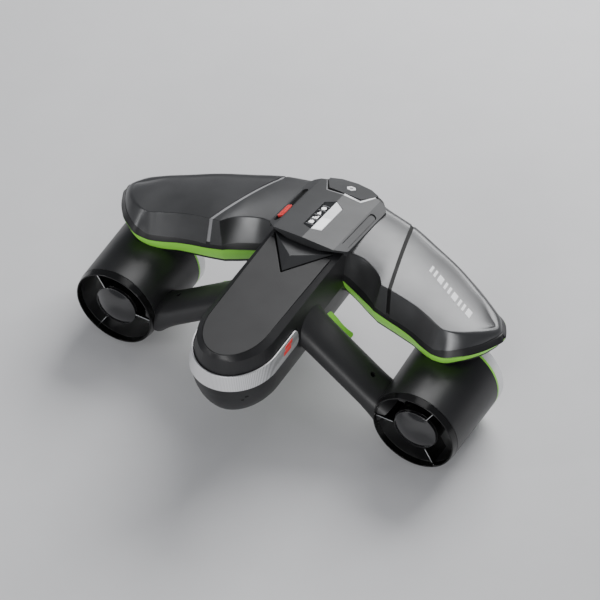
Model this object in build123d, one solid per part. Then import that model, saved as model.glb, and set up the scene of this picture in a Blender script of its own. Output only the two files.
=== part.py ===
from build123d import *
import os
from math import atan, cos, degrees, radians, sin

# Twin-thruster underwater scooter.
# Frame: +X to the rider's right, +Y forward, +Z up.  The origin is under the middle of the
# overall box, on the plane that the two thruster ducts stand on.  All sizes in millimetres.

# ---- overall layout ----
thruster_half_spacing = 246.0
duct_radius = 69.0
thruster_z = duct_radius
outlet_y = -76.0
inlet_y = 71.0
half_length = 213.5
wall = 3.0
gap = 0.5

# ---- tool heights: cutting prisms reach from inside the hull to above the scooter ----
tool_bottom_z = 150.0
tool_top_z = 260.0
tool_half_width = 80.0

# ---- central hull: height, half-width, tail y, front y of each horizontal outline ----
parting_z = 158.0
lower_levels = [
    (84.0, 34.0, -168.0, 178.0),
    (92.0, 47.0, -184.0, 196.0),
    (110.0, 56.0, -197.0, 207.0),
    (135.0, 61.0, -207.0, 212.5),
    (parting_z, 62.7, -211.2, half_length),
]
upper_levels = [
    (parting_z, 62.7, -211.2, half_length),
    (188.0, 58.5, -205.5, 212.0),
    (207.0, 55.5, -201.5, 208.0),
    (214.0, 46.5, -197.5, 204.0),
]
tail_length = 74.0
nose_length = 28.0
deck_z = 204.0
deck_margin = 0.5
upper_cavity = [
    (parting_z, 55.0, -203.0, 208.0),
    (188.0, 54.0, -202.0, 207.0),
    (deck_z, 52.0, -198.5, 203.0),
]

# ---- screws that close the hull from below ----
screw_x = 24.0
screw_ys = (-120.0, -40.0, 60.0, 140.0)
screw_head_radius = 3.0
screw_head_height = 1.8
screw_radius = 1.5
screw_length = 5.0

# ---- battery, its lid and its bay ----
lid_top_z = 214.5
lid_bottom_z = 208.0
lid_half_width = 45.5
lid_front_half_width = 48.8
lid_tail_y = -196.0
lid_front_y = 40.0
notch_tip_y = -16.5
battery_half_width = 40.0
battery_tail_y = -184.0
battery_front_y = -20.0
battery_bottom_z = 115.0
cell_radius = 10.5
cell_length = 70.0
cell_pitch = 22.0
cell_rows = 6
case_wall = 2.0
bay_clearance = 1.5
bay_wall = 2.5
bay_bottom_z = 106.0
seal_z = (196.0, 199.0)
seal_squeeze = 1.1
lid_tail_length = 66.0
contact_pin_radius = 2.5
contact_pin_length = 6.0
board_size = (84.0, 130.0, 2.0)
board_centre = (0.0, 92.0, 125.0)

# ---- silver tail latch ----
latch_bottom_z = 159.5
latch_top_z = 185.5
latch_front_y = -76.0
latch_pin_y = -84.0
latch_pin_z = 172.5
latch_pin_radius = 3.0
latch_travel = 10.0
latch_slot_reach = 62.0
latch_inner_half_width = 59.0
latch_inner_tail_y = -207.0
latch_bow_y = 60.0
latch_corner_radius = 9.0

# ---- roof-shaped console cover ----
ridge_y = 44.5
ridge_z = 231.0
roof_slope = 0.155
shoulder_x = 48.5
shoulder_drop = 4.5
bevel_slope = 0.516
cover_half_width = 64.0
cover_wall = 4.0
cover_skirt = 18.5
channel_x = 56.0
channel_y = (66.0, 158.0)
channel_width = 11.0
channel_depth = 3.0
key_y = 94.0
key_length = 31.0
key_width = 8.4
key_height = 3.6
key_rib_pitch = 3.8
key_rib_width = 1.2
key_rib_depth = 0.8
lens_half_width = 15.0
lens_thickness = 2.0
lens_ledge = 3.0

# ---- front mounting plate and its nut ----
plate_rear_y = 171.0
plate_rear_z = 211.5
plate_slope = 0.364
plate_thickness = 6.0
plate_front_y = 212.0
nut_y = 190.0
nut_flats = 12.7
nut_bore_radius = 2.6
nut_length = 9.0

# ---- wings: x, rear top edge, lip, trim foot and leading edge of each rib, all as (y, z) ----
ribs = [
    (57.0, (72.0, 205.5), (55.0, 165.5), (66.0, 137.0), (203.0, 178.0)),
    (85.0, (73.0, 205.5), (46.0, 162.0), (57.0, 132.0), (199.0, 174.0)),
    (107.0, (62.0, 205.5), (37.0, 160.0), (48.0, 128.0), (193.0, 171.0)),
    (130.0, (43.0, 206.0), (28.5, 155.0), (39.0, 125.0), (185.0, 169.0)),
    (150.0, (36.0, 204.0), (27.5, 151.0), (37.5, 122.0), (178.0, 167.0)),
    (192.0, (32.0, 197.0), (16.5, 150.0), (24.0, 126.0), (162.0, 163.0)),
    (234.0, (18.0, 192.0), (1.5, 151.5), (8.5, 131.0), (140.0, 160.0)),
    (265.0, (27.0, 189.0), (3.5, 160.5), (13.5, 140.5), (119.0, 158.0)),
    (284.0, (47.0, 184.0), (22.0, 161.0), (29.0, 143.5), (103.0, 158.0)),
    (300.0, (64.0, 175.0), (46.0, 160.5), (50.0, 146.0), (90.0, 157.0)),
    (306.0, (70.0, 168.0), (60.0, 158.0), (62.0, 150.0), (84.0, 157.0)),
]
hollow_ribs = slice(0, 9)
foam_ribs = slice(1, 8)
nose_band = 20.0
lip_height = 2.5
trim_thickness = 3.0
groove_width = 5.5
groove_angle = 15.4
groove_centre = (128.3, 98.0)

# ---- handles and triggers ----
handle_start = Vector(50.0, -37.0, 160.6)
handle_angle = 36.2
handle_length = 176.0
handle_half_depth = 31.4
handle_half_height = 19.4
handle_wall = 3.5
trigger_start = 20.0
trigger_length = 48.0
trigger_width = 9.4
trigger_front_y = 5.0
trigger_back_y = -17.0
trigger_pivot = (25.0, -14.5)
pocket_margin = 2.0
pocket_depth = 34.0
pocket_centre_y = -14.0
trigger_pin_radius = 1.5
scoop_radius = 58.0
scoop_depth = 2.0

# ---- thrusters: radii about the duct axis and places along Y ----
stripe_y = 51.0
ring_y = 54.0
duct_rear_y = -65.5
duct_rear_radius = 65.4
outlet_radius = 63.2
duct_wall = 4.0
hub_radius = 34.5
hub_cap_radius = 33.0
dome_radius = 62.0
dome_height = 9.5
hub_front_y = -10.0
hub_rear_y = -66.0
vane_thickness = 2.2
vane_y = (-70.0, -32.0)
right_vane_angles = (60.0, 180.0, 300.0)
shaft_radius = 4.0
bearing_radius = 9.0
running_gap = 0.05
rotor_radius = 26.0
propeller_y = (2.0, 26.0)
propeller_hub_radius = 15.0
propeller_radius = 59.5
blade_count = 3
guard_y = (56.0, 60.0)
spoke_count = 6


# ---------------------------------------------------------------- helpers
def outline(points):
    return make_face(Polyline(*points, close=True))


def prism(points, low, high):
    return extrude(Plane.XY.offset(low) * outline(points), high - low)


def boat(z, half_width, tail_y, front_y, tail=tail_length, nose=nose_length):
    """Horizontal outline: half-ellipse tail, straight sides and a blunt elliptical nose."""
    stern = tail_y + tail
    bow = front_y - nose
    edges = EllipticalCenterArc((0, stern), half_width, tail, 180, arc_size=180)
    edges += Line((half_width, stern), (half_width, bow))
    edges += EllipticalCenterArc((0, bow), half_width, nose, 0, arc_size=180)
    edges += Line((-half_width, bow), (-half_width, stern))
    return Plane.XY.offset(z) * make_face(edges)


def hull(levels, shrink=0.0, ruled=True):
    faces = [boat(z, half - shrink, tail + shrink, front - shrink) for z, half, tail, front in levels]
    return loft(faces, ruled=ruled)


def turned(points):
    """Solid of revolution about the thruster axis, from (radius, y) points, at x = 0, z = 0."""
    return revolve(outline(points), Axis.Y)


def tall_prism(points):
    return prism(points, tool_bottom_z, tool_top_z)


def tube(outer, inner, low, high):
    return turned([(inner, low), (outer, low), (outer, high), (inner, high)])


def at_thruster(shape, side=1):
    return Pos(side * thruster_half_spacing, 0, thruster_z) * shape


def on_left(shape):
    return mirror(shape, about=Plane.YZ)


def inset(points, distance):
    """Move every side of a convex outline inward by the distance."""
    count = len(points)
    area = sum(points[i - 1][0] * points[i][1] - points[i][0] * points[i - 1][1] for i in range(count))
    turn = 1 if area > 0 else -1
    lines = []
    for i in range(count):
        start, end = Vector(*points[i]), Vector(*points[(i + 1) % count])
        along = (end - start).normalized()
        inward = Vector(-along.Y, along.X) * turn
        lines.append((start + inward * distance, along))
    moved = []
    for i in range(count):
        first, a = lines[i - 1]
        second, b = lines[i]
        reach = second - first
        length = (reach.X * b.Y - reach.Y * b.X) / (a.X * b.Y - a.Y * b.X)
        corner = first + a * length
        moved.append((corner.X, corner.Y))
    return moved


def save(name, shape):
    export_step(shape, f"parts/{name}.step")


def save_pair(name, right):
    save(f"{name}_right", right)
    save(f"{name}_left", on_left(right))


# ---------------------------------------------------------------- roof and plate surfaces
def roof_z(y):
    return ridge_z - roof_slope * (y - ridge_y)


def roof_drop(x):
    beyond = max(0.0, abs(x) - shoulder_x)
    return shoulder_drop * min(abs(x), shoulder_x) / shoulder_x + bevel_slope * beyond


def roof_section(y, drop, half_width, depth):
    """Roof-shaped section in XZ; a positive depth closes it below, a negative one above."""
    crest = roof_z(y) - drop
    xs = (-half_width, -shoulder_x, 0, shoulder_x, half_width)
    top = [(x, crest - roof_drop(x)) for x in xs]
    base = roof_z(y) - depth
    return Plane.XZ.offset(-y) * outline([(-half_width, base)] + top + [(half_width, base)])


def roof_block(drop=0.0, half_width=cover_half_width, depth=cover_skirt, start=30.0, end=230.0):
    return loft([roof_section(y, drop, half_width, depth) for y in (start, end)], ruled=True)


def above_roof(drop):
    """Everything above the roof surface lowered by the drop."""
    return roof_block(drop, tool_half_width, -60)


def plate_z(y):
    return plate_rear_z - plate_slope * (y - plate_rear_y)


def plate_slab(top_drop, bottom_drop, start=plate_rear_y - 6, end=240.0, half_width=90.0):
    """Slab between two planes parallel to the plate's top; a negative drop is above it."""
    points = [
        (start, plate_z(start) - bottom_drop),
        (end, plate_z(end) - bottom_drop),
        (end, plate_z(end) - top_drop),
        (start, plate_z(start) - top_drop),
    ]
    return extrude(Plane.YZ.offset(-half_width) * outline(points), 2 * half_width)


def plate_outline(grow=0.0):
    rear = plate_rear_y - grow
    half = [(26 + grow * 0.5, rear), (39 + grow, 192), (40 + grow, 199), (24, 208.5), (0, plate_front_y)]
    return half + [(-x, y) for x, y in reversed(half[:-1])]


def cover_outline():
    half = [(0, ridge_y), (shoulder_x, 47.6), (60.4, 59.9), (63.1, 63.2), (cover_half_width, 67.4)]
    half += [(cover_half_width, 177.5), (58.5, 185.5), (41, 190.5), (28.6, 166), (0, 166)]
    return half + [(-x, y) for x, y in reversed(half[1:-1])]


def lens_outline(shrink=0.0):
    half = lens_half_width - shrink
    right = [(0, 69 + shrink), (half, 75 + shrink), (half, 136.6 - shrink), (0, 146.7 - shrink)]
    return right + [(-half, 136.6 - shrink), (-half, 75 + shrink)]


def notch_outline(grow=0.0):
    """Triangle of the chevron wedge, its tip towards the tail."""
    return [(0, notch_tip_y - grow), (shoulder_x + grow, 50), (-shoulder_x - grow, 50)]


# ---------------------------------------------------------------- central hull
def hull_solid():
    return hull(lower_levels, ruled=False) + hull(upper_levels)


def screw_places():
    return [(side * screw_x, y) for side in (-1, 1) for y in screw_ys]


def screw_head():
    centre_z = lower_levels[0][0] + screw_head_height / 2
    return Pos(0, 0, centre_z) * Cylinder(screw_head_radius, screw_head_height)


def screw_shank(length):
    low = lower_levels[0][0] + screw_head_height - deck_margin
    return Pos(0, 0, low + length / 2) * Cylinder(screw_radius, length)


def lower_shell():
    inner_levels = [(lower_levels[0][0] + wall,) + lower_levels[0][1:]] + lower_levels[1:]
    shell = hull(lower_levels, ruled=False) - hull(inner_levels, wall, ruled=False)
    for x, y in screw_places():
        shell -= Pos(x, y) * screw_head()
        shell -= Pos(x, y) * screw_shank(screw_length)
    return shell


def shell_screws():
    shapes = []
    for x, y in screw_places():
        shapes.append(Pos(x, y) * (screw_head() + screw_shank(screw_length)))
    return Compound(children=shapes)


def latch_relief():
    """Rebate in the hull's flank that the latch lies in and is pulled back from."""
    room = latch_bottom_z - parting_z
    low, high = parting_z, latch_top_z + room
    ring = extrude(boat(low, tool_half_width, -240, latch_bow_y), high - low)
    core_outline = boat(low, latch_inner_half_width - gap, latch_inner_tail_y + gap, latch_bow_y)
    core = extrude(core_outline, high - low)
    behind = Pos(0, latch_front_y + room - 100, 180) * Box(200, 200, 100)
    return (ring - core) & behind


def upper_shell():
    deck = wall + deck_margin
    cavity = hull(upper_cavity) - above_roof(cover_wall + gap + deck)
    cavity -= plate_slab(plate_thickness + deck, -40)
    shell = hull(upper_levels) - cavity - nut_blank(gap)
    shell -= tall_prism(lid_outline(gap))
    shell -= latch_relief()
    shell -= above_roof(cover_wall + gap)
    shell -= plate_slab(plate_thickness, -40)
    shell -= prism(notch_outline(gap), lid_bottom_z, tool_top_z)
    return shell - latch_pin(1) - latch_pin(-1)


def lid_outline(grow=0.0):
    """Tongue outline with a V notch at its front edge and a half-ellipse tail."""
    stern = lid_tail_y + lid_tail_length
    half, front = lid_half_width + grow, lid_front_half_width + grow
    tail_points = []
    for step in range(1, 24):
        angle = radians(180 + 7.5 * step)
        tail_points.append((half * cos(angle), stern + (lid_tail_length + grow) * sin(angle)))
    notch = notch_outline(gap)
    run = (notch[1][0] - notch[0][0]) / (notch[1][1] - notch[0][1])
    tip = notch[0][1]
    inner = (lid_front_y - tip) * run
    right = [(half, stern), (front, lid_front_y + grow)]
    left = [(-front, lid_front_y + grow), (-half, stern)]
    if grow:
        return tail_points + right + left
    return tail_points + right + [(inner, lid_front_y), (0, tip), (-inner, lid_front_y)] + left


def battery_lid():
    return prism(lid_outline(), lid_bottom_z, lid_top_z)


def battery_block(grow, low, high):
    """Upright block of the battery's plan outline, its sides moved out by the given growth."""
    half_width = battery_half_width + grow
    outline_face = boat(low, half_width, battery_tail_y - grow, battery_front_y + grow, 60, 8)
    return extrude(outline_face, high - low)


def battery_case():
    outer = battery_block(0, battery_bottom_z, lid_bottom_z)
    return outer - battery_block(-case_wall, battery_bottom_z + case_wall, lid_bottom_z - wall)


def battery_cells():
    centre_z = battery_bottom_z + wall + case_wall + cell_length / 2
    first_y = battery_front_y - wall - case_wall - cell_radius
    cells = []
    for column in (-1, 0, 1):
        for row in range(cell_rows):
            place = Pos(cell_pitch * column, first_y - cell_pitch * row, centre_z)
            cells.append(place * Cylinder(cell_radius, cell_length))
    return Compound(children=cells)


def battery_seal():
    return battery_block(seal_squeeze, *seal_z) - battery_block(0, *seal_z)


def bay_liner():
    outer = battery_block(bay_clearance + bay_wall, bay_bottom_z, deck_z)
    return outer - battery_block(bay_clearance, bay_bottom_z + bay_wall, deck_z)


def contact_pins():
    centre_z = bay_bottom_z + bay_wall + contact_pin_length / 2
    pin = Pos(0, -60, centre_z) * Cylinder(contact_pin_radius, contact_pin_length)
    return Compound(children=[Pos(x, 0) * pin for x in (-18, -6, 6, 18)])


def chevron_wedge():
    base = prism(notch_outline(), lid_bottom_z, lid_top_z - 0.5)
    foot = Plane.XY.offset(lid_top_z - 0.5) * outline(notch_outline())
    tip = Plane.XY.offset(224.5) * outline([(0, 8), (1.5, 11), (-1.5, 11)])
    return base + loft([foot, tip], ruled=True)


def controller_board():
    board = Pos(*board_centre) * Box(*board_size)
    chip_z = board_centre[2] + board_size[2] / 2 + 4
    for x, y, size in ((-20, 60, 26), (22, 60, 22), (-18, 110, 20), (20, 120, 30)):
        board += Pos(x, y, chip_z) * Box(size, size, 8)
    return board


# ---------------------------------------------------------------- tail latch
def latch_blank():
    outer = loft(
        [
            boat(latch_bottom_z, 64.5, -half_length, latch_bow_y),
            boat(latch_top_z, 61.5, -209.5, latch_bow_y),
        ],
        ruled=True,
    )
    inner = extrude(boat(latch_bottom_z, latch_inner_half_width, latch_inner_tail_y, latch_bow_y), 40)
    return outer - inner


def tail_latch():
    height = latch_top_z - latch_bottom_z
    arm = RectangleRounded(200, height, latch_corner_radius)
    side_face = Plane.YZ * Pos(latch_front_y - 100, latch_pin_z) * arm
    latch = latch_blank() & extrude(side_face, tool_half_width, both=True)
    slot_width = 2 * (latch_pin_radius + running_gap)
    slot = SlotOverall(latch_travel + slot_width, slot_width)
    slot_face = Plane.YZ * Pos(latch_pin_y + latch_travel / 2, latch_pin_z) * slot
    return latch - extrude(slot_face, latch_slot_reach, both=True)


def latch_pin(side):
    return Pos(side * 57, latch_pin_y, latch_pin_z) * Rot(0, 90, 0) * Cylinder(latch_pin_radius, 9)


def latch_pins():
    return Compound(children=[latch_pin(-1), latch_pin(1)])


# ---------------------------------------------------------------- console
def bevel_plane(side, y):
    """Plane on the console's side bevel, its X along the bevel towards the front."""
    origin = Vector(side * channel_x, y, roof_z(y) - roof_drop(channel_x))
    along = Vector(0, 1, -roof_slope).normalized()
    across = Vector(1, 0, -side * bevel_slope)
    return Plane(origin, x_dir=along, z_dir=across.cross(along))


def channel(side):
    middle = (channel_y[0] + channel_y[1]) / 2
    plane = bevel_plane(side, middle)
    slot = extrude(plane * SlotOverall(channel_y[1] - channel_y[0], channel_width), 20, both=True)
    return slot - extrude(plane.offset(-channel_depth) * Rectangle(400, 100), -40)


def top_cover():
    cover = roof_block() - roof_block(cover_wall, cover_half_width - cover_wall, 40)
    cover &= tall_prism(cover_outline())
    for side in (-1, 1):
        cover -= channel(side)
    cover -= tall_prism(lens_outline()) & above_roof(lens_thickness)
    return cover - tall_prism(lens_outline(lens_ledge))


def display_lens():
    pane = roof_block(0.2, 60, 40) - roof_block(lens_thickness, 60, 40)
    return tall_prism(lens_outline(0.15)) & pane


def display_panel():
    panel = roof_block(lens_thickness + 0.2, 60, 40) - roof_block(lens_thickness + 2.4, 60, 40)
    return tall_prism(lens_outline(lens_ledge + 0.2)) & panel


def power_key():
    plane = bevel_plane(-1, key_y).offset(-channel_depth + 0.3)
    key = extrude(plane * RectangleRounded(key_length, key_width, 2.5), key_height)
    for step in range(-3, 4):
        rib = plane.offset(key_height) * Pos(step * key_rib_pitch, 0) * Rectangle(key_rib_width, key_width)
        key -= extrude(rib, key_rib_depth, both=True)
    return key


def side_inlay():
    middle = (channel_y[0] + channel_y[1]) / 2
    plane = bevel_plane(1, middle).offset(-channel_depth)
    inlay = SlotOverall(channel_y[1] - channel_y[0] - 0.6, channel_width - 0.6)
    return extrude(plane * inlay, 1.2)


# ---------------------------------------------------------------- mounting plate
def plate_plane(y):
    tilt = degrees(atan(plate_slope))
    return Plane(Location((0, y, plate_z(y)), (-tilt, 0, 0)))


def nut_blank(grow=0.0):
    hexagon = RegularPolygon(nut_flats / 2 + grow, 6, major_radius=False)
    return extrude(plate_plane(nut_y).offset(0.6) * hexagon, -nut_length)


def mount_plate():
    return (tall_prism(plate_outline()) & plate_slab(0, plate_thickness)) - nut_blank()


def mount_nut():
    bore = extrude(plate_plane(nut_y).offset(2) * Circle(nut_bore_radius), -nut_length - 4)
    return nut_blank() - bore


# ---------------------------------------------------------------- wings
def rib_points(rib):
    x, top, lip, foot, nose = rib
    band = min(nose_band, 0.2 * (nose[0] - top[0]))
    crest = (nose[0] - band, top[1] - 0.15 * (nose[0] - band - top[0]))
    under = (nose[0] - 0.12 * (nose[0] - foot[0]), nose[1] - 0.4 * (nose[1] - foot[1]))
    return [top, lip, foot, under, nose, crest]


def wing(distance=0.0, chosen=slice(None)):
    faces = []
    for rib in ribs[chosen]:
        points = rib_points(rib)
        if distance:
            points = inset(points, distance)
        faces.append(Plane.YZ.offset(rib[0]) * outline(points))
    return loft(faces, ruled=True)


def trim_zone():
    """Room of the trim strip under the lip: from outside the wing to the trim's back."""
    faces = []
    for rib in ribs[1:-1]:
        outer, inner = inset(rib_points(rib), -4), inset(rib_points(rib), trim_thickness)
        quad = [outer[1], outer[2], inner[2], inner[1]]
        faces.append(Plane.YZ.offset(rib[0]) * outline(quad))
    return loft(faces, ruled=True)


def above_parting():
    faces = []
    for x, top, lip, foot, nose in ribs:
        rear, front = (lip[0] - 30, lip[1] + lip_height), (nose[0] + 12, nose[1] + 0.5)
        quad = [rear, front, (front[0], 260), (rear[0], 260)]
        faces.append(Plane.YZ.offset(x) * outline(quad))
    return loft(faces, ruled=True)


def groove_slab(width, shift=0.0):
    return Pos(*groove_centre, 180) * Rot(0, 0, groove_angle) * Pos(shift, 0, 0) * Box(width, 320, 160)


def wing_parts(hull_block, duct_block):
    side = 300.0
    shell = wing() - wing(wall, hollow_ribs)
    trim = (wing() & trim_zone()) - duct_block
    shell -= trim_zone()
    above = above_parting()
    covers = (shell & above) - hull_block
    lower = (shell - above) - hull_block - duct_block
    inner = covers & groove_slab(side, -(side + groove_width) / 2)
    outer = covers & groove_slab(side, (side + groove_width) / 2)
    strip_skin = wing(wall, hollow_ribs) - wing(wall + 2, hollow_ribs)
    strip = strip_skin & groove_slab(groove_width + 5) & above
    foam = wing(wall + 2.5, foam_ribs) - hull_block
    return {
        "wing_cover_inner": inner,
        "wing_cover_outer": outer,
        "wing_joint_strip": strip,
        "wing_lower_shell": lower,
        "wing_trim": trim,
        "wing_foam": foam,
    }


# ---------------------------------------------------------------- handles and triggers
def handle_frame(distance=0.0):
    """Plane across the right handle, its X along +Y and its Z along the handle."""
    angle = radians(handle_angle)
    along = Vector(cos(angle), 0, -sin(angle))
    return Plane(handle_start + along * distance, x_dir=(0, 1, 0), z_dir=along)


def handle_bar(shrink=0.0):
    section = Ellipse(handle_half_depth - shrink, handle_half_height - shrink)
    return extrude(handle_frame() * section, handle_length)


def trigger_face(distance):
    """Plane square to the trigger pin; X along the handle and Y forward."""
    frame = handle_frame()
    pin_axis = Vector(0, 1, 0).cross(frame.z_dir)
    origin = Vector(frame.origin.X, 0, frame.origin.Z) + pin_axis * distance
    return Plane(origin, x_dir=frame.z_dir, z_dir=frame.z_dir.cross(Vector(0, 1, 0)))


def along_pin(sketch, half_width):
    return extrude(trigger_face(0) * sketch, half_width, both=True)


def trigger_pocket():
    middle = trigger_start + trigger_length / 2
    mouth = Rectangle(trigger_length + 2 * pocket_margin, pocket_depth)
    return along_pin(Pos(middle, pocket_centre_y) * mouth, trigger_width / 2 + 0.8)


def pin_solid(radius, half_length_along):
    return along_pin(Pos(*trigger_pivot) * Circle(radius), half_length_along)


def handle(hull_block, duct_block):
    bar = handle_bar() - handle_bar(handle_wall)
    bar = bar - hull_block - duct_block - trigger_pocket()
    return bar - pin_solid(trigger_pin_radius, 16)


def trigger():
    middle = trigger_start + trigger_length / 2
    depth = trigger_front_y - trigger_back_y
    middle_y = (trigger_front_y + trigger_back_y) / 2
    body = Pos(middle, middle_y) * RectangleRounded(trigger_length, depth, 4)
    finger_scoop = Pos(middle + 6, trigger_front_y + scoop_radius - scoop_depth) * Circle(scoop_radius)
    lever = along_pin(body, trigger_width / 2) - along_pin(finger_scoop, trigger_width)
    return lever - pin_solid(trigger_pin_radius + running_gap, 20)


def trigger_pins():
    right = pin_solid(trigger_pin_radius, 12.5)
    return Compound(children=[right, on_left(right)])


def trigger_springs():
    ring = Pos(*trigger_pivot) * (Circle(2.8) - Circle(trigger_pin_radius + 0.3))
    right = extrude(trigger_face(trigger_width / 2 + 0.3) * ring, -1.4)
    return Compound(children=[right, on_left(right)])


# ---------------------------------------------------------------- thrusters
def duct_block():
    rear = [(0, outlet_y), (outlet_radius, outlet_y), (duct_rear_radius, duct_rear_y)]
    return at_thruster(turned(rear + [(duct_radius, stripe_y), (duct_radius, inlet_y), (0, inlet_y)]))


def duct_shell():
    return turned([
        (duct_rear_radius - duct_wall, duct_rear_y),
        (duct_rear_radius, duct_rear_y),
        (duct_radius, stripe_y),
        (duct_radius - duct_wall, stripe_y),
    ])


def outlet_ring():
    return turned([
        (outlet_radius - 2, outlet_y),
        (outlet_radius, outlet_y),
        (duct_rear_radius, duct_rear_y),
        (duct_rear_radius - duct_wall, duct_rear_y),
    ])


def inlet_ring():
    return turned([
        (duct_radius - duct_wall, ring_y),
        (duct_radius, ring_y),
        (duct_radius, inlet_y - 3),
        (duct_radius - 1.5, inlet_y),
        (duct_radius - duct_wall, inlet_y),
    ])


def stator_hub():
    barrel = tube(hub_radius, hub_radius - 2.5, hub_rear_y, hub_front_y)
    barrel += tube(hub_radius, bearing_radius, hub_front_y - 4, hub_front_y)
    barrel += tube(bearing_radius + 2.5, bearing_radius, -59, hub_front_y)
    reach = duct_rear_radius - duct_wall + 2.0
    length = vane_y[1] - vane_y[0]
    vane = Box(reach - hub_radius + 1, length, vane_thickness)
    blank = Pos((hub_radius - 1 + reach) / 2, (vane_y[0] + vane_y[1]) / 2, 0) * vane
    for angle in right_vane_angles:
        barrel += Rot(0, -angle, 0) * blank
    narrow = [(0, outlet_y), (outlet_radius - 2, outlet_y), (duct_rear_radius - duct_wall, duct_rear_y)]
    return barrel & turned(narrow + [(duct_radius - duct_wall, stripe_y), (0, stripe_y)])


def hub_cap():
    flange = tube(hub_cap_radius, 0, hub_rear_y - 3, hub_rear_y)
    centre_y = hub_rear_y - 3 - dome_height + dome_radius
    dome = (Pos(0, centre_y, 0) * Sphere(dome_radius)) & tube(hub_cap_radius, 0, -90, hub_rear_y)
    return flange + dome


def motor_rotor():
    shaft = tube(shaft_radius, 0, -64, 34)
    disc = tube(rotor_radius, shaft_radius - 1, -64, -61)
    return shaft + disc + tube(rotor_radius, rotor_radius - 4, -62, -26)


def both_thrusters(*shapes):
    children = []
    for shape in shapes:
        children += [at_thruster(shape), at_thruster(shape, -1)]
    return Compound(children=children)


def motor_windings():
    return both_thrusters(tube(rotor_radius - 6, bearing_radius + 2.5, -52, -30))


def shaft_bearings():
    race = tube(bearing_radius, shaft_radius + running_gap, 0, 5)
    return both_thrusters(Pos(0, -58, 0) * race, Pos(0, -20, 0) * race)


def shaft_seals():
    return both_thrusters(tube(bearing_radius, shaft_radius + running_gap, -14, hub_front_y))


def blade():
    """Twisted blade from the propeller hub out to the tip: radius, chord, thickness, pitch."""
    middle = (propeller_y[0] + propeller_y[1]) / 2
    sections = [(12.5, 21.0, 4.6, 40.0), (34.0, 30.0, 3.2, 58.0), (propeller_radius, 24.0, 1.8, 70.0)]
    faces = []
    for radius, chord, thickness, pitch in sections:
        place = Plane.YZ.offset(radius) * Pos(middle, 0) * Rot(0, 0, pitch)
        faces.append(place * Ellipse(chord / 2, thickness / 2))
    return loft(faces)


def propeller():
    body = tube(propeller_hub_radius, shaft_radius, *propeller_y)
    for turn in range(blade_count):
        body += Rot(0, turn * 360 / blade_count, 0) * blade()
    return body - tube(shaft_radius, 0, propeller_y[0] - 10, propeller_y[1] + 10)


def spinner():
    low = propeller_y[1]
    ball = Pos(0, low, 0) * Sphere(propeller_hub_radius)
    return (ball & tube(20, 0, low, low + 20)) - tube(shaft_radius, 0, low - 1, 34)


def inlet_guard():
    low, high = guard_y
    guard = tube(12, 0, low, high) + tube(39, 36.5, low, high)
    reach = duct_radius - duct_wall
    bar = Pos((reach + 10) / 2, (low + high) / 2, 0) * Box(reach - 10, high - low, 2.4)
    for turn in range(spoke_count):
        guard += Rot(0, turn * 360 / spoke_count, 0) * bar
    return guard & tube(reach, 0, low - 1, high + 1)


# ---------------------------------------------------------------- build every node
def write_hull():
    save("pod_lower_shell", lower_shell())
    save("pod_upper_shell", upper_shell())
    save("shell_screws", shell_screws())
    save("bay_liner", bay_liner())
    save("contact_pins", contact_pins())
    save("controller_board", controller_board())
    save("chevron_wedge", chevron_wedge())
    save("battery_lid", battery_lid())
    save("battery_case", battery_case())
    save("battery_cells", battery_cells())
    save("battery_seal", battery_seal())
    save("tail_latch", tail_latch())
    save("latch_pins", latch_pins())


def write_console():
    save("top_cover", top_cover())
    save("display_lens", display_lens())
    save("display_panel", display_panel())
    save("power_key", power_key())
    save("side_inlay", side_inlay())
    save("mount_plate", mount_plate())
    save("mount_nut", mount_nut())


def write_wings_and_handles(hull_block):
    duct = duct_block()
    for name, shape in wing_parts(hull_block, duct).items():
        save_pair(name, shape)
    save_pair("handle", handle(hull_block, duct))
    save_pair("trigger", trigger())
    save("trigger_pins", trigger_pins())
    save("trigger_springs", trigger_springs())


def write_thrusters():
    pieces = {
        "duct_shell": duct_shell(),
        "outlet_ring": outlet_ring(),
        "inlet_ring": inlet_ring(),
        "stator_hub": stator_hub(),
        "hub_cap": hub_cap(),
        "inlet_guard": inlet_guard(),
        "motor_rotor": motor_rotor(),
        "propeller": propeller(),
        "spinner": spinner(),
    }
    for name, shape in pieces.items():
        save_pair(name, at_thruster(shape))
    save("duct_stripes", both_thrusters(tube(duct_radius, duct_radius - duct_wall, stripe_y, ring_y)))
    save("motor_windings", motor_windings())
    save("shaft_bearings", shaft_bearings())
    save("shaft_seals", shaft_seals())


os.makedirs("parts", exist_ok=True)
write_hull()
write_console()
write_wings_and_handles(hull_solid())
write_thrusters()
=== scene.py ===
import bmesh
import bpy
from math import cos, pi, radians, sin, sqrt
from mathutils import Matrix, Vector
from mathutils.bvhtree import BVHTree


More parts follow.
